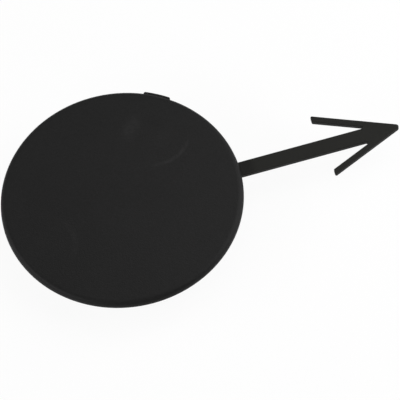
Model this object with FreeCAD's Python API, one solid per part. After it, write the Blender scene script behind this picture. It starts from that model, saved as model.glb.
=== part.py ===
import FreeCAD, Part
import os
from math import atan2, cos, radians, sin, sqrt, tan

# Round clip-in cover for the towing eye opening of a car bumper, moulded in one piece with its
# retaining strap. The face is slightly crowned and has a soft edge. On the back stand an interrupted
# locating collar and three snap legs that grip the edge of the bumper's hole. A flat strap leaves the
# collar, passes under the rim and ends in an arrow head with two long barbs.
#
# Millimetres. The origin is on the cover's axis, in the plane of the rim's back edge.
# +Z points out of the visible face and +Y towards the lug on the rim.

# Cap
cap_radius = 38.0
rim_height = 2.4
wall = 1.9
lip_width = 2.6
crown_radius = 700.0
edge_rounding = 1.8
rim_foot_chamfer = 0.25
lip_chamfer = 0.5

# Lug on the rim
lug_width = 8.6
lug_height = 1.5
lug_reach = 0.55
lug_rounding = 0.5
lug_angle = 90.0

# Bumper skin that the cover is made for
skin_thickness = 3.0
hole_clearance = 0.4
catch_play = 0.2

# Locating collar
collar_radius = 27.0
collar_wall = 1.5
collar_depth = 4.2
collar_draft = 1.0
collar_chamfer = 0.3
root_flare = 0.7

# Snap legs
leg_count = 3
leg_width = 9.5
leg_root_thickness = 2.1
leg_tip_thickness = 1.1
leg_depth = 9.4
leg_slot = 1.3
barb_overhang = 1.8
barb_crest = 0.6
catch_angle = 45.0
lead_in_angle = 32.0
leg_corner_rounding = 0.35

# Gussets that stiffen the collar from inside
gussets_per_span = 2
gusset_spacing = 44.0
gusset_thickness = 1.2
gusset_length = 4.6
gusset_depth = 2.6

# Strap
strap_angle = 31.85
strap_width = 4.95
strap_thickness = 1.5
strap_drop = 0.45
strap_root_width = 9.0
strap_root_rounding = 4.0
strap_edge_chamfer = 0.12
pad_setback = 2.0
relief_height = 0.5
relief_clearance = 0.4

# Arrow head at the strap's end
arrow_reach = 91.0
arrow_half_angle = 23.6
long_barb_length = 26.8
long_barb_width = 2.05
long_barb_notch_rounding = 0.3
short_barb_length = 24.95
short_barb_width = 1.85
short_barb_notch_rounding = 0.5
nose_rounding = 0.85
barb_corner_rounding = 0.45

# Sizes worked out from the ones above
face_apex = rim_height + crown_radius - sqrt(crown_radius**2 - cap_radius**2)
crown_centre = face_apex - crown_radius
root_embed = wall / 2
leg_spacing = 360.0 / leg_count
below_all = 2 * leg_depth

X = FreeCAD.Vector(1, 0, 0)
Y = FreeCAD.Vector(0, 1, 0)
Z = FreeCAD.Vector(0, 0, 1)
CENTRE = FreeCAD.Vector(0, 0, 0)


def rounded_outline(corners):
    """Closed wire through corners (first, second, rounding), with an arc at each rounded corner."""
    count = len(corners)
    starts = []
    ends = []
    arcs = []
    for index, (first, second, rounding) in enumerate(corners):
        corner = FreeCAD.Vector(first, second, 0)
        before = FreeCAD.Vector(*corners[index - 1][:2], 0) - corner
        after = FreeCAD.Vector(*corners[(index + 1) % count][:2], 0) - corner
        if rounding == 0:
            starts.append(corner)
            ends.append(corner)
            arcs.append(None)
            continue
        before.normalize()
        after.normalize()
        half = before.getAngle(after) / 2
        setback = rounding / tan(half)
        inward = before + after
        inward.normalize()
        start = corner + before * setback
        end = corner + after * setback
        middle = corner + inward * (rounding / sin(half) - rounding)
        starts.append(start)
        ends.append(end)
        arcs.append(Part.Arc(start, middle, end).toShape())
    edges = []
    for index in range(count):
        if arcs[index]:
            edges.append(arcs[index])
        edges.append(Part.LineSegment(ends[index], starts[(index + 1) % count]).toShape())
    return Part.Wire(edges)


def upright(outline):
    """Face of an outline drawn as (radius, height), stood up in the XZ plane."""
    face = Part.Face(outline)
    face.rotate(CENTRE, X, 90)
    return face


def turned(shape, angle):
    """Copy of a shape turned about the cover's axis."""
    copy = shape.copy()
    copy.rotate(CENTRE, Z, angle)
    return copy


def face_height(radius, depth=0.0):
    """Height of the crowned face at a radius, or of the surface parallel to it at a depth."""
    return crown_centre + sqrt((crown_radius - depth)**2 - radius**2)


def crown_arc(inner, outer, depth=0.0):
    """Arc of the crown from one radius to another, in the XZ plane."""
    radii = [inner, (inner + outer) / 2, outer]
    points = [FreeCAD.Vector(radius, 0, face_height(radius, depth)) for radius in radii]
    return Part.Arc(*points).toShape()


def revolved(edges):
    """Solid turned from a closed section in the XZ plane."""
    return Part.Face(Part.Wire(edges)).revolve(CENTRE, Z, 360)


def side_line(*points):
    """Straight edges through points given as (radius, height)."""
    corners = [FreeCAD.Vector(radius, 0, height) for radius, height in points]
    return [Part.LineSegment(first, second).toShape() for first, second in zip(corners, corners[1:])]


def under_crown(depth):
    """Everything under the crowned face lowered by a depth, for trimming what stands on the back."""
    height = face_height(cap_radius, depth)
    top = face_height(0, depth)
    walls = side_line((cap_radius, height), (cap_radius, -below_all), (0, -below_all), (0, top))
    return revolved([crown_arc(0, cap_radius, depth)] + walls)


def make_cap():
    """Crowned disc with a soft edge, hollowed at the back inside its lip."""
    edge_centre = cap_radius - edge_rounding
    edge_height = face_height(edge_centre, edge_rounding)
    tangent_angle = atan2(edge_height - crown_centre, edge_centre)
    arc_middle = FreeCAD.Vector(edge_centre, 0, edge_height)
    edge_points = [
        arc_middle + FreeCAD.Vector(cos(angle), 0, sin(angle)) * edge_rounding
        for angle in (tangent_angle, tangent_angle / 2, 0)
    ]
    pocket = cap_radius - lip_width
    section = [
        crown_arc(0, edge_points[0].x),
        Part.Arc(*edge_points).toShape(),
        *side_line(
            (cap_radius, edge_height),
            (cap_radius, rim_foot_chamfer),
            (cap_radius - rim_foot_chamfer, 0),
            (pocket + lip_chamfer, 0),
            (pocket, lip_chamfer),
            (pocket, face_height(pocket, wall)),
        ),
        crown_arc(pocket, 0, wall),
        *side_line((0, face_height(0, wall)), (0, face_apex)),
    ]
    return revolved(section)


def make_lug():
    """Low block at the rim's back edge that keys the cover in its recess."""
    inner = cap_radius - lip_width / 2
    block = Part.makeBox(2 * lug_reach + lip_width, lug_width, lug_height)
    block.translate(FreeCAD.Vector(inner, -lug_width / 2, 0))
    block = block.common(Part.makeCylinder(cap_radius + lug_reach, lug_height))
    corners = [
        edge for edge in block.Edges
        if edge.BoundBox.ZLength > lug_height / 2 and edge.BoundBox.XMax > cap_radius
    ]
    return turned(block.makeFillet(lug_rounding, corners), lug_angle)


def make_collar():
    """Locating wall on the back, open beside each snap leg."""
    taper = collar_depth * tan(radians(collar_draft))
    floor = face_height(collar_radius, wall)
    outer = collar_radius
    inner = collar_radius - collar_wall
    section = rounded_outline([
        (inner - root_flare - root_embed, floor + root_embed, 0),
        (inner, floor - root_flare, 0),
        (inner + taper, collar_chamfer - collar_depth, 0),
        (inner + taper + collar_chamfer, -collar_depth, 0),
        (outer - taper - collar_chamfer, -collar_depth, 0),
        (outer - taper, collar_chamfer - collar_depth, 0),
        (outer, floor - root_flare, 0),
        (outer + root_flare + root_embed, floor + root_embed, 0),
    ])
    collar = upright(section).revolve(CENTRE, Z, 360)
    opening = Part.makeBox(2 * cap_radius, leg_width + 2 * leg_slot, below_all + 2 * face_apex)
    opening.translate(FreeCAD.Vector(0, -leg_width / 2 - leg_slot, -below_all))
    for index in range(leg_count):
        collar = collar.cut(turned(opening, lug_angle + index * leg_spacing))
    return collar


def make_leg():
    """Snap leg along +X: a tapering cantilever with a barb that catches behind the bumper skin."""
    floor = face_height(collar_radius, wall)
    face = collar_radius
    crest = collar_radius + barb_overhang
    catch_slope = tan(radians(catch_angle))
    catch_start = -(skin_thickness + catch_play) + hole_clearance * catch_slope
    crest_top = catch_start - barb_overhang * catch_slope
    crest_bottom = crest_top - barb_crest
    tip_face = crest - (leg_depth + crest_bottom) * tan(radians(lead_in_angle))
    root_back = face - leg_root_thickness
    section = rounded_outline([
        (face + root_flare + root_embed, floor + root_embed, 0),
        (face, floor - root_flare, 0),
        (face, catch_start, leg_corner_rounding),
        (crest, crest_top, leg_corner_rounding / 2),
        (crest, crest_bottom, leg_corner_rounding),
        (tip_face, -leg_depth, leg_corner_rounding),
        (tip_face - leg_tip_thickness, -leg_depth, leg_corner_rounding),
        (root_back, floor - root_flare, 0),
        (root_back - root_flare - root_embed, floor + root_embed, 0),
    ])
    leg = upright(section).extrude(Y * leg_width)
    leg.translate(Y * (-leg_width / 2))
    return leg


def make_gusset():
    """Triangular rib along +X, inside the collar."""
    outer = collar_radius - collar_wall / 2
    section = rounded_outline([
        (outer, face_apex, 0),
        (outer, -gusset_depth, 0),
        (collar_radius - collar_wall, -gusset_depth, 0),
        (collar_radius - collar_wall - gusset_length, face_apex - wall, 0),
        (collar_radius - collar_wall - gusset_length, face_apex, 0),
    ])
    gusset = upright(section).extrude(Y * gusset_thickness)
    gusset.translate(Y * (-gusset_thickness / 2))
    return gusset


def make_strap():
    """Flat strap with its arrow head, drawn along +X and turned to its angle, its edges broken."""
    slope = tan(radians(arrow_half_angle))
    half = strap_width / 2
    long_inset = long_barb_width / cos(radians(arrow_half_angle))
    short_inset = short_barb_width / cos(radians(arrow_half_angle))
    root = collar_radius - collar_wall / 2
    root_end = collar_radius + (strap_root_width - strap_width) / 2
    long_notch = arrow_reach - (half + long_inset) / slope
    short_notch = arrow_reach - (half + short_inset) / slope
    long_end = arrow_reach - long_barb_length
    short_end = arrow_reach - short_barb_length
    outline = rounded_outline([
        (root, strap_root_width / 2, 0),
        (root_end, half, strap_root_rounding),
        (long_notch, half, long_barb_notch_rounding),
        (long_end, long_barb_length * slope - long_inset, barb_corner_rounding),
        (long_end, long_barb_length * slope, barb_corner_rounding),
        (arrow_reach, 0, nose_rounding),
        (short_end, -short_barb_length * slope, barb_corner_rounding),
        (short_end, short_inset - short_barb_length * slope, barb_corner_rounding),
        (short_notch, -half, short_barb_notch_rounding),
        (root_end, -half, strap_root_rounding),
        (root, -strap_root_width / 2, 0),
    ])
    strap = Part.Face(outline).extrude(Z * (-strap_thickness))
    flat_edges = [
        edge for edge in strap.Edges
        if edge.BoundBox.ZLength < strap_thickness / 2 and edge.BoundBox.XMax > root + strap_edge_chamfer
    ]
    strap = strap.makeChamfer(strap_edge_chamfer, flat_edges)
    strap.translate(Z * -strap_drop)
    return turned(strap, strap_angle)


def make_strap_pad():
    """Solid root that joins the strap to the cap's back, ending short of the rim."""
    inner = collar_radius - collar_wall / 2
    outer = cap_radius - pad_setback
    low = -strap_drop - strap_thickness / 2
    pad = Part.makeBox(outer - inner, strap_width - 2 * strap_edge_chamfer, face_apex - low)
    pad.translate(FreeCAD.Vector(inner, strap_edge_chamfer - strap_width / 2, low))
    return turned(pad, strap_angle)


def make_strap_relief():
    """Gap in the rim's back edge over the strap, which gives the strap room to bend."""
    width = strap_width + 2 * relief_clearance
    gap = Part.makeBox(3 * lip_width, width, 2 * relief_height)
    gap.translate(FreeCAD.Vector(cap_radius - 2 * lip_width, -width / 2, -relief_height))
    return turned(gap, strap_angle)


def make_cover():
    """The whole moulding as one solid."""
    backs = [make_collar(), make_strap_pad()]
    for index in range(leg_count):
        angle = lug_angle + index * leg_spacing
        backs.append(turned(make_leg(), angle))
        span_middle = angle + leg_spacing / 2
        for step in range(gussets_per_span):
            offset = gusset_spacing * (step - (gussets_per_span - 1) / 2)
            backs.append(turned(make_gusset(), span_middle + offset))
    embedded = under_crown(root_embed)
    backs = [shape.common(embedded) for shape in backs]
    return make_cap().cut(make_strap_relief()).fuse(backs + [make_lug(), make_strap()])


os.makedirs("parts", exist_ok=True)
cover = make_cover()
cover.exportStep("parts/tow_hook_cover.step")
print("solids", len(cover.Solids), "valid", cover.isValid(), "volume", round(cover.Volume, 1))
print("box", cover.BoundBox)
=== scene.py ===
from math import cos, pi, radians, sin

import bmesh
import bpy
from mathutils import Matrix, Vector
from mathutils.bvhtree import BVHTree


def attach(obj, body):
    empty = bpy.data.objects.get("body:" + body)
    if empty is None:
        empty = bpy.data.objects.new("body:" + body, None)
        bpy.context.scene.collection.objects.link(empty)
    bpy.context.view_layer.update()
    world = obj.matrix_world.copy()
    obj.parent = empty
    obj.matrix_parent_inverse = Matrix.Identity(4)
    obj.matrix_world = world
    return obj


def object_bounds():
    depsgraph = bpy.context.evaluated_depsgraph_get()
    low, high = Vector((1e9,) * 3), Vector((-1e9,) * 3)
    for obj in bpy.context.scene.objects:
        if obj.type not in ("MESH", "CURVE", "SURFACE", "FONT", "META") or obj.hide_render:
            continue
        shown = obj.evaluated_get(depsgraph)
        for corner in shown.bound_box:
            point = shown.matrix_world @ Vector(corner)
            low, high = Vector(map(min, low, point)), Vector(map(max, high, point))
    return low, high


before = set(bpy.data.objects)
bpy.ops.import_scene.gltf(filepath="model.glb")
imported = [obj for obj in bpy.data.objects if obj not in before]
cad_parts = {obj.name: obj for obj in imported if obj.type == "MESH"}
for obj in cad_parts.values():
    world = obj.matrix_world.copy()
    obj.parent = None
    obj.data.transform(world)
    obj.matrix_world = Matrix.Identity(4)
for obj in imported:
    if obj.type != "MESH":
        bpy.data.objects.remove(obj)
cadLow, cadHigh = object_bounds()
print("frame loaded:", ", ".join(sorted(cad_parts)))

millimetre = 0.001
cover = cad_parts["tow_hook_cover"]
capRadius = -cadLow.x       # the strap sticks out on the other side only


# small helpers for the node trees

def newMaterial(name):
    material = bpy.data.materials.new(name)
    material.use_nodes = True
    material.node_tree.nodes.clear()
    return material, material.node_tree


def addNode(tree, kind, label, entries=None, **settings):
    # each entry takes a plain value or the output of another node
    node = tree.nodes.new(kind)
    node.label = label
    node.name = label
    for name, value in settings.items():
        setattr(node, name, value)
    for entry, value in (entries or {}).items():
        if isinstance(value, bpy.types.NodeSocket):
            tree.links.new(value, node.inputs[entry])
        else:
            node.inputs[entry].default_value = value
    return node


def reckon(tree, label, operation, *terms, clamp=False):
    entries = dict(enumerate(terms))
    node = addNode(tree, "ShaderNodeMath", label, entries, operation=operation, use_clamp=clamp)
    return node.outputs[0]


def reckonVector(tree, label, operation, *terms):
    node = addNode(tree, "ShaderNodeVectorMath", label, dict(enumerate(terms)), operation=operation)
    givesNumber = operation in ("LENGTH", "DOT_PRODUCT")
    return node.outputs["Value" if givesNumber else "Vector"]


def spread(tree, label, value, low, high, toLow=0.0, toHigh=1.0):
    # a smooth step from toLow to toHigh while the value goes from low to high
    entries = {"Value": value, "From Min": low, "From Max": high, "To Min": toLow, "To Max": toHigh}
    node = addNode(tree, "ShaderNodeMapRange", label, entries, interpolation_type="SMOOTHSTEP")
    return node.outputs[0]


def noise(tree, label, place, scale, detail, roughness=0.5):
    entries = {"Vector": place, "Scale": scale, "Detail": detail, "Roughness": roughness}
    return addNode(tree, "ShaderNodeTexNoise", label, entries).outputs[0]


def fromCentre(tree, place, label, centre, stretch=(1, 1)):
    # the level way from a centre in millimetres to the point, with each side stretched
    middle = Vector((*centre, 0)) * millimetre
    away = reckonVector(tree, label + "Away", "SUBTRACT", place, middle)
    return reckonVector(tree, label + "Flat", "MULTIPLY", away, (*stretch, 0))


# the moulded plastic: grained outside, plain satin on the back, the legs and the strap

plastic = {
    "colour": (0.0132, 0.0132, 0.0132, 1.0),
    "cloudColour": (0.0143, 0.0143, 0.0143, 1.0),   # where the melt cooled slower
    "plainColour": (0.0149, 0.0149, 0.0133, 1.0),   # without the grain, on the strap and the back
    "specular": 0.12,
    "roughness": 0.5,
    "cloudRoughness": 0.05,     # added in the clouds
    "cloudSize": 16.0,          # mm
    "cloudDetail": 4.0,
    "cloudSwirl": 0.45,         # how much the finer swirls of a cloud count
    "cloudLimits": (0.3, 0.7),  # levels of the noise between which a cloud comes in
    "grainSize": 0.34,          # mm, from pit to pit
    "grainDepth": 0.032,        # mm
    "grainPaintedShade": 0.3,           # painted shade: how much darker the grain's pits are painted than its tops
    "grainMiddle": 0.95,        # the grain's mean height, where the colour is as written
    "swellShare": 0.45,         # swells under the grain, for each pit
    "swellDetail": 3.0,
    "plainDepth": 0.009,        # mm, the finer finish without grain
    "leastUpward": 0.05,        # what faces up more than this has the grain
    "rimBand": 0.4,             # mm, the outermost part of the rim has it too
    "grainFoot": (-0.1, 0.05),  # mm, heights between which it ends at the rim's foot
    "softEdge": 0.12,           # mm, how far the edges are broken
    "softEdgeSamples": 6,
    "edgeLimits": (0.01, 0.12),     # how far the normal has turned where an edge begins and is full
    "edgePolish": 0.08,         # taken off the roughness along the edges
}

# painted reflections: faint arcs and patches on the face's colour, mostly paler, in millimetres and
# degrees in the part's frame
faceArcs = [
    {"centre": (2.5, 23.9), "radius": 11.9, "towards": -33, "halfSpan": 48, "fullSpan": 12,
     "width": 1.1, "gain": 0.43},
    {"centre": (-19.3, -23.5), "radius": 11.0, "towards": 32, "halfSpan": 46, "fullSpan": 8,
     "width": 1.6, "gain": 0.19},
]
facePatches = [
    {"centre": (-4.1, 24.0), "halfSize": (3.8, 7.0), "gain": 0.34},
    {"centre": (6.6, 22.8), "halfSize": (3.6, 4.4), "gain": 0.1},
    {"centre": (1.9, 27.4), "halfSize": (5.0, 3.8), "gain": -0.08},
]
reflectionSpots = {
    "patchCore": 0.1,           # share of a patch's size that has its full strength
    "size": 1.6,                # mm, of the stronger and weaker spots in a painted reflection
    "detail": 2.0,
    "limits": (0.35, 0.65),     # levels of the noise from a weaker spot to a stronger one
    "least": 0.45,              # strength in the weaker spots
    "most": 1.35,               # strength in the stronger ones
}


def outsideMask(tree, place, facing):
    # 1 on the face, the rim and the lug, 0 on the back, the legs and the strap
    height = addNode(tree, "ShaderNodeSeparateXYZ", "place", {0: place}).outputs["Z"]
    rise = addNode(tree, "ShaderNodeSeparateXYZ", "facing", {0: facing}).outputs["Z"]
    radius = reckonVector(tree, "radius", "LENGTH", fromCentre(tree, place, "axis", (0, 0)))
    upward = reckon(tree, "upward", "GREATER_THAN", rise, plastic["leastUpward"])
    atRim = reckon(tree, "atRim", "GREATER_THAN", radius, capRadius - plastic["rimBand"] * millimetre)
    either = reckon(tree, "upOrRim", "MAXIMUM", upward, atRim)
    footLow, footHigh = plastic["grainFoot"]
    aboveFoot = spread(tree, "aboveFoot", height, footLow * millimetre, footHigh * millimetre)
    return reckon(tree, "outside", "MULTIPLY", either, aboveFoot)


def arcShare(tree, place, label, arc):
    away = fromCentre(tree, place, label, arc["centre"])
    reach = reckonVector(tree, label + "Reach", "LENGTH", away)
    off = reckon(tree, label + "Off", "SUBTRACT", reach, arc["radius"] * millimetre)
    far = reckon(tree, label + "Far", "ABSOLUTE", off)
    band = spread(tree, label + "Band", far, 0.0, arc["width"] * millimetre, arc["gain"], 0.0)
    along = reckonVector(tree, label + "Along", "NORMALIZE", away)
    towards = radians(arc["towards"])
    side = reckonVector(tree, label + "Side", "DOT_PRODUCT", along, (cos(towards), sin(towards), 0))
    atEnd = cos(radians(arc["halfSpan"]))
    atFull = cos(radians(arc["fullSpan"]))
    fade = spread(tree, label + "Fade", side, atEnd, atFull)
    return reckon(tree, label + "Share", "MULTIPLY", band, fade)


def patchShare(tree, place, label, patch):
    stretch = [1 / (half * millimetre) for half in patch["halfSize"]]
    away = fromCentre(tree, place, label, patch["centre"], stretch)
    reach = reckonVector(tree, label + "Reach", "LENGTH", away)
    return spread(tree, label + "Share", reach, reflectionSpots["patchCore"], 1.0, patch["gain"], 0.0)


def paintedReflectionShare(tree, place):
    # painted reflections: faint arcs and patches in the colour, broken up by noise
    shares = []
    for number, arc in enumerate(faceArcs):
        shares.append(arcShare(tree, place, "arc%d" % number, arc))
    for number, patch in enumerate(facePatches):
        shares.append(patchShare(tree, place, "patch%d" % number, patch))
    total = shares[0]
    for number, share in enumerate(shares[1:]):
        total = reckon(tree, "reflectionSum%d" % number, "ADD", total, share)
    reflectionBreakup = noise(tree, "reflectionBreakup", place, 1 / (reflectionSpots["size"] * millimetre), reflectionSpots["detail"])
    low, high = reflectionSpots["limits"]
    strength = spread(tree, "reflectionStrength", reflectionBreakup, low, high, reflectionSpots["least"], reflectionSpots["most"])
    return reckon(tree, "paintedReflections", "MULTIPLY", total, strength)


def grainHeight(tree, place):
    # rounded pits of one size, with soft swells under them
    size = plastic["grainSize"] * millimetre
    pits = addNode(tree, "ShaderNodeTexVoronoi", "grainPits", {"Vector": place, "Scale": 1 / size},
                   feature="SMOOTH_F1")
    swells = noise(tree, "grainSwells", place, plastic["swellShare"] / size, plastic["swellDetail"])
    return reckon(tree, "grain", "ADD", pits.outputs[0], swells)


def cloudShare(tree, place):
    # 1 in the clouds, where the melt cooled slower
    scale = 1 / (plastic["cloudSize"] * millimetre)
    flow = noise(tree, "flow", place, scale, plastic["cloudDetail"], plastic["cloudSwirl"])
    low, high = plastic["cloudLimits"]
    return spread(tree, "cloud", flow, low, high)


def edgeShare(tree, softNormal):
    # 1 along the edges, where the softened normal turns away from the true one
    surface = addNode(tree, "ShaderNodeNewGeometry", "surface")
    alike = reckonVector(tree, "alike", "DOT_PRODUCT", softNormal, surface.outputs["Normal"])
    turned = reckon(tree, "edgeTurn", "SUBTRACT", 1.0, alike)
    low, high = plastic["edgeLimits"]
    return spread(tree, "edge", turned, low, high)


def shownColour(tree, place, outside, grain, cloud):
    # outside, the grain's tops are painted paler and its pits darker as painted shade, and painted
    # reflections make faint arcs and patches on the face mostly paler than the plastic's colour
    clouded = addNode(tree, "ShaderNodeMix", "cloudedColour",
                      {"Factor": cloud, "A": plastic["colour"], "B": plastic["cloudColour"]},
                      data_type="RGBA")
    colour = addNode(tree, "ShaderNodeMix", "colour",
                     {"Factor": outside, "A": plastic["plainColour"], "B": clouded.outputs["Result"]},
                     data_type="RGBA")
    # painted shade and light on the grain: its pits are darkened and its tops paled in the colour
    overMiddle = reckon(tree, "grainOverMiddle", "SUBTRACT", grain, plastic["grainMiddle"])
    pitShade = reckon(tree, "grainPaintedShade", "MULTIPLY", overMiddle, plastic["grainPaintedShade"])
    changes = reckon(tree, "changes", "ADD", paintedReflectionShare(tree, place), pitShade)
    changesOutside = reckon(tree, "changesOutside", "MULTIPLY", changes, outside)
    brightness = reckon(tree, "brightness", "ADD", changesOutside, 1.0)
    shown = addNode(tree, "ShaderNodeVectorMath", "shownColour",
                    {0: colour.outputs["Result"], "Scale": brightness}, operation="SCALE")
    return shown.outputs[0]


def plasticMaterial():
    material, tree = newMaterial("blackPlastic")
    coordinates = addNode(tree, "ShaderNodeTexCoord", "coordinates")
    place = coordinates.outputs["Object"]
    outside = outsideMask(tree, place, coordinates.outputs["Normal"])
    grain = grainHeight(tree, place)
    cloud = cloudShare(tree, place)

    # relief: the grain outside, a finer one elsewhere, on a normal that turns softly round the edges
    plainShare = plastic["plainDepth"] / plastic["grainDepth"]
    depthShare = reckon(tree, "depthShare", "MULTIPLY_ADD", outside, 1 - plainShare, plainShare)
    relief = reckon(tree, "relief", "MULTIPLY", grain, depthShare)
    softEdge = addNode(tree, "ShaderNodeBevel", "softEdge",
                       {"Radius": plastic["softEdge"] * millimetre}, samples=plastic["softEdgeSamples"])
    softNormal = softEdge.outputs[0]
    depth = plastic["grainDepth"] * millimetre
    bump = addNode(tree, "ShaderNodeBump", "grainBump",
                   {"Distance": depth, "Height": relief, "Normal": softNormal})

    # roughness: a little more in the clouds, a little less along the edges
    cloudRough = reckon(tree, "cloudRough", "MULTIPLY_ADD", cloud, plastic["cloudRoughness"],
                        plastic["roughness"])
    polish = reckon(tree, "polish", "MULTIPLY", edgeShare(tree, softNormal), plastic["edgePolish"])
    rough = reckon(tree, "rough", "SUBTRACT", cloudRough, polish, clamp=True)

    shader = addNode(tree, "ShaderNodeBsdfPrincipled", "plastic",
                     {"Base Color": shownColour(tree, place, outside, grain, cloud), "Roughness": rough,
                      "Normal": bump.outputs["Normal"], "Specular IOR Level": plastic["specular"]})
    addNode(tree, "ShaderNodeOutputMaterial", "end", {"Surface": shader.outputs["BSDF"]})
    return material


blackPlastic = plasticMaterial()
cover.data.materials.clear()
cover.data.materials.append(blackPlastic)
print("plastic laid on")


# what the mould leaves: pin marks and the gate's stub on the back, and the parting line round the rim

coverMesh = bmesh.new()
coverMesh.from_mesh(cover.data)
coverSurface = BVHTree.FromBMesh(coverMesh)
coverMesh.free()


def seatFromBelow(reach, angle):
    # where a line straight up meets the back, and which way the surface faces there
    x = reach * cos(radians(angle)) * millimetre
    y = reach * sin(radians(angle)) * millimetre
    start = Vector((x, y, cadLow.z - millimetre))
    return coverSurface.ray_cast(start, Vector((0, 0, 1)))[:2]


def turnedForms(profile, seats, sides):
    # the profile's points are a radius and a height over the surface, in millimetres
    form = bmesh.new()
    for place, normal in seats:
        first = normal.orthogonal().normalized()
        second = normal.cross(first)
        rings = []
        for radius, height in profile:
            middle = place + normal * height * millimetre
            count = sides if radius else 1      # a ring of no radius is one point
            ring = []
            for step in range(count):
                turn = 2 * pi * step / sides
                out = first * cos(turn) + second * sin(turn)
                ring.append(form.verts.new(middle + out * radius * millimetre))
            rings.append(ring)
        for ring, nextRing in zip(rings, rings[1:]):
            for step in range(sides):
                after = (step + 1) % sides
                corners = [ring[step % len(ring)], nextRing[step % len(nextRing)],
                           nextRing[after % len(nextRing)], ring[after % len(ring)]]
                form.faces.new(list(dict.fromkeys(corners)))    # a triangle beside a single point
    bmesh.ops.recalc_face_normals(form, faces=form.faces)
    return form


def addMouldPiece(name, form, sharpAngle):
    mesh = bpy.data.meshes.new(name)
    form.to_mesh(mesh)
    form.free()
    mesh.shade_smooth()
    mesh.set_sharp_from_angle(angle=radians(sharpAngle))
    mesh.materials.append(blackPlastic)
    piece = bpy.data.objects.new(name, mesh)
    bpy.context.scene.collection.objects.link(piece)
    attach(piece, "root")


pinMarks = {
    "capPinRadius": 2.0,            # mm, of the pins that push the cap off the core
    "capPinCircle": 17.0,           # mm, inside the collar
    "capPinCount": 6,
    "rimPinCircle": 31.4,           # mm, between the collar and the rim
    "rimPinAngles": (150, 270),     # degrees
    "strapPinRadius": 1.5,
    "strapPinReaches": (48.0, 60.0, 78.0),
    "strapAngle": 31.85,            # degrees
    "land": 0.03,                   # mm over the surface
    "ring": 0.07,                   # mm over the surface, the burr round a pin
    "ringWidth": 0.2,
    "ringSlope": 0.05,              # mm, what each side of the ring takes of its width
    "rooted": 0.15,                 # mm, how far a mark goes into the wall
    "sides": 48,
    "sharpAngle": 25,               # degrees
}


def makePinMarks(name, radius, places):
    land, ring, rooted = pinMarks["land"], pinMarks["ring"], pinMarks["rooted"]
    inner = radius - pinMarks["ringWidth"]
    slope = pinMarks["ringSlope"]
    profile = [(0, land), (inner, land), (inner + slope, ring), (radius - slope, ring), (radius, land),
               (radius, -rooted), (0, -rooted)]
    seats = [seatFromBelow(reach, angle) for reach, angle in places]
    addMouldPiece(name, turnedForms(profile, seats, pinMarks["sides"]), pinMarks["sharpAngle"])


def makeCapPinMarks():
    count = pinMarks["capPinCount"]
    places = [(pinMarks["capPinCircle"], 360 * number / count) for number in range(count)]
    places += [(pinMarks["rimPinCircle"], angle) for angle in pinMarks["rimPinAngles"]]
    makePinMarks("capPinMarks", pinMarks["capPinRadius"], places)


def makeStrapPinMarks():
    places = [(reach, pinMarks["strapAngle"]) for reach in pinMarks["strapPinReaches"]]
    makePinMarks("strapPinMarks", pinMarks["strapPinRadius"], places)


gateStub = {
    "radius": 0.6,                  # mm, at the wall
    "topRadius": 0.45,
    "height": 0.35,
    "rooted": 0.15,                 # mm, how far it goes into the wall
    "sides": 32,
    "sharpAngle": 25,               # degrees
}


def makeGateStub():
    height, rooted = gateStub["height"], gateStub["rooted"]
    profile = [(0, height), (gateStub["topRadius"], height),
               (gateStub["radius"], -rooted), (0, -rooted)]
    form = turnedForms(profile, [seatFromBelow(0, 0)], gateStub["sides"])
    addMouldPiece("gateStub", form, gateStub["sharpAngle"])


partingLine = {
    "radius": 37.875,               # mm, the middle of the chamfer at the rim's foot
    "height": 0.125,
    "bead": 0.055,
    "steps": 480,                   # round the whole rim
    "sides": 8,
    "look": 3.0,                    # mm, from how far off the chamfer is looked for
    "tolerance": 0.04,
    "sharpAngle": 60,               # degrees
}


def chamferPoint(step):
    angle = 2 * pi * step / partingLine["steps"]
    out = Vector((cos(angle), sin(angle), 0))
    height = Vector((0, 0, partingLine["height"] * millimetre))
    return out * partingLine["radius"] * millimetre + height, out


def chamferIsOpen(step):
    # false where the strap, its relief or the lug takes the chamfer away
    point, out = chamferPoint(step)
    away = (out - Vector((0, 0, 1))).normalized()
    look = partingLine["look"] * millimetre
    distance = coverSurface.ray_cast(point + away * look, -away)[3]
    return distance is not None and abs(distance - look) < partingLine["tolerance"] * millimetre


def openRuns():
    # the stretches of the chamfer, as lists of steps that may go on past the last one
    steps = partingLine["steps"]
    isOpen = [chamferIsOpen(step) for step in range(steps)]
    runs = []
    for step in range(steps):
        if isOpen[step] and not isOpen[step - 1]:
            run = [step]
            while isOpen[(run[-1] + 1) % steps]:
                run.append(run[-1] + 1)
            runs.append(run)
    return runs


def beadRing(form, step):
    point, out = chamferPoint(step)
    ring = []
    for side in range(partingLine["sides"]):
        turn = 2 * pi * side / partingLine["sides"]
        around = out * cos(turn) + Vector((0, 0, sin(turn)))
        ring.append(form.verts.new(point + around * (partingLine["bead"] * millimetre)))
    return ring


def makePartingLine():
    form = bmesh.new()
    runs = openRuns()
    for run in runs:
        rings = [beadRing(form, step) for step in run]
        for ring, nextRing in zip(rings, rings[1:]):
            for side in range(len(ring)):
                after = (side + 1) % len(ring)
                form.faces.new((ring[side], nextRing[side], nextRing[after], ring[after]))
        form.faces.new(rings[0])
        form.faces.new(rings[-1])
    bmesh.ops.recalc_face_normals(form, faces=form.faces)
    addMouldPiece("partingLine", form, partingLine["sharpAngle"])
    return len(runs)


makeCapPinMarks()
makeStrapPinMarks()
makeGateStub()
print("pin marks and gate stub made")
print("parting line made in", makePartingLine(), "stretches")


# floor, with its edges turned up all round

floorSettings = {
    "size": 6.0,                    # m
    "edgeHeight": 0.3,              # m, stands behind the part in views from low down
    "gap": 0.00002,                 # m, under the feet of the legs
    "colour": (0.93, 0.93, 0.93, 1.0),
    "glow": 0.93,                   # share of plain white that camera and mirror rays see
}


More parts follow.
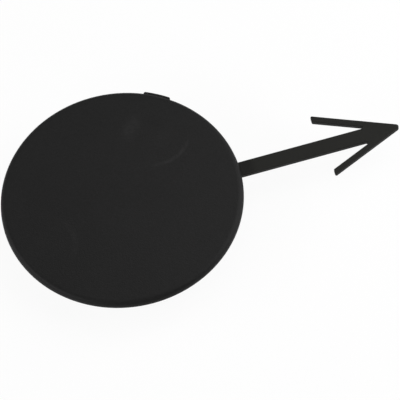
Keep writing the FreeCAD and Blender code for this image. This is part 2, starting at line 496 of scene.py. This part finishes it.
def floorPaper():
    # paper to the light that falls on it, nearly plain white to the camera and in what mirrors it
    material, tree = newMaterial("floorPaper")
    paper = addNode(tree, "ShaderNodeBsdfDiffuse", "paper", {"Color": floorSettings["colour"]})
    white = addNode(tree, "ShaderNodeEmission", "white")
    rays = addNode(tree, "ShaderNodeLightPath", "rays").outputs
    seen = reckon(tree, "seenOrMirrored", "MAXIMUM", rays["Is Camera Ray"], rays["Is Glossy Ray"])
    seenThrough = reckon(tree, "orThrough", "MAXIMUM", seen, rays["Is Transmission Ray"])
    share = reckon(tree, "share", "MULTIPLY", seenThrough, floorSettings["glow"])
    mix = addNode(tree, "ShaderNodeMixShader", "mix",
                  {0: share, 1: paper.outputs["BSDF"], 2: white.outputs["Emission"]})
    addNode(tree, "ShaderNodeOutputMaterial", "end", {"Surface": mix.outputs["Shader"]})
    return material


def makeFloor():
    half = floorSettings["size"] / 2
    low = cadLow.z - floorSettings["gap"]
    high = low + floorSettings["edgeHeight"]
    outline = [(-half, -half), (half, -half), (half, half), (-half, half)]
    corners = [(x, y, z) for z in (low, high) for x, y in outline]
    count = len(outline)
    faces = [tuple(range(count))]
    for side in range(count):
        after = (side + 1) % count
        faces.append((side, after, after + count, side + count))
    mesh = bpy.data.meshes.new("floor")
    mesh.from_pydata(corners, [], faces)
    mesh.materials.append(floorPaper())
    floor = bpy.data.objects.new("floor", mesh)
    bpy.context.scene.collection.objects.link(floor)


makeFloor()
print("floor made")


# camera, from the outline of the disc and the strap in the 400 x 400 picture

cameraSettings = {
    "pictureSize": 400,             # px
    "discPixel": (121.7, 196.55),   # px, where the axis meets the rim's top plane
    "pixelsPerMetre": 3213.0,
    "distance": 1.5,                # m
    "tiltBack": -28.83,             # degrees
    "tiltSide": -3.7,
    "turn": -16.45,
    "aimHeight": 0.0024,            # m, the rim's top plane
    "sensor": 36.0,                 # mm
    "nearest": 0.1,                 # m, what is nearer isn't seen
    "farthest": 20.0,
}


def cameraAxes():
    # columns: the picture's right hand, its top, and the way back to the camera
    tiltBack = Matrix.Rotation(radians(cameraSettings["tiltBack"]), 3, "X")
    tiltSide = Matrix.Rotation(radians(cameraSettings["tiltSide"]), 3, "Y")
    turn = Matrix.Rotation(radians(cameraSettings["turn"]), 3, "Z")
    return (tiltBack @ tiltSide @ turn).transposed()


def makeCamera():
    settings = cameraSettings
    middle = settings["pictureSize"] / 2
    scale = settings["pixelsPerMetre"]
    across = (middle - settings["discPixel"][0]) / scale
    up = (settings["discPixel"][1] - middle) / scale
    axes = cameraAxes()
    aim = Vector((0, 0, settings["aimHeight"]))
    data = bpy.data.cameras.new("camera")
    data.sensor_width = settings["sensor"]
    data.lens = scale * settings["distance"] / settings["pictureSize"] * settings["sensor"]
    data.clip_start = settings["nearest"]
    data.clip_end = settings["farthest"]
    camera = bpy.data.objects.new("camera", data)
    camera.matrix_world = axes.to_4x4()
    camera.location = aim + axes @ Vector((across, up, settings["distance"]))
    bpy.context.scene.collection.objects.link(camera)
    bpy.context.scene.camera = camera


# light: a wide low box at the left, a near one at the right, one from behind, and the room

lighting = {
    "room": 0.06,                   # strength of the room's own light
    "aim": (0.02, 0.01, 0),         # m, where the boxes point, off the cap's middle towards the strap
}

# degrees, metres and watts
softBoxes = {
    "left": {"azimuth": 202, "elevation": 27, "distance": 1.2, "size": (1.8, 0.2), "power": 11.0},
    "right": {"azimuth": 17, "elevation": 38, "distance": 0.42, "size": (0.5, 0.5), "power": 2.0},
    "back": {"azimuth": 95, "elevation": 60, "distance": 1.5, "size": (1.2, 1.2), "power": 4.2},
}


def makeWorld():
    world = bpy.data.worlds.new("studio")
    bpy.context.scene.world = world
    world.use_nodes = True
    tree = world.node_tree
    tree.nodes.clear()
    room = addNode(tree, "ShaderNodeBackground", "room", {"Strength": lighting["room"]})
    addNode(tree, "ShaderNodeOutputWorld", "end", {"Surface": room.outputs["Background"]})


def makeSoftBox(name, box, right):
    level = Matrix.Rotation(radians(box["azimuth"]), 3, "Z") @ right
    rise = radians(box["elevation"])
    direction = level * cos(rise) + Vector((0, 0, 1)) * sin(rise)
    data = bpy.data.lights.new(name, "AREA")
    data.shape = "RECTANGLE"
    data.size, data.size_y = box["size"]
    data.energy = box["power"]
    lamp = bpy.data.objects.new(name, data)
    lamp.location = Vector(lighting["aim"]) + direction * box["distance"]
    lamp.rotation_mode = "QUATERNION"
    lamp.rotation_quaternion = (-direction).to_track_quat("-Z", "Y")
    bpy.context.scene.collection.objects.link(lamp)


def makeSoftBoxes():
    # azimuth is measured round the part's axis, from the picture's right hand towards its top
    right = cameraAxes() @ Vector((1, 0, 0))
    right.z = 0
    right.normalize()
    for name, box in softBoxes.items():
        makeSoftBox(name, box, right)


makeWorld()
makeCamera()
makeSoftBoxes()
bpy.context.scene.view_settings.view_transform = "Standard"
print("camera and lights set")
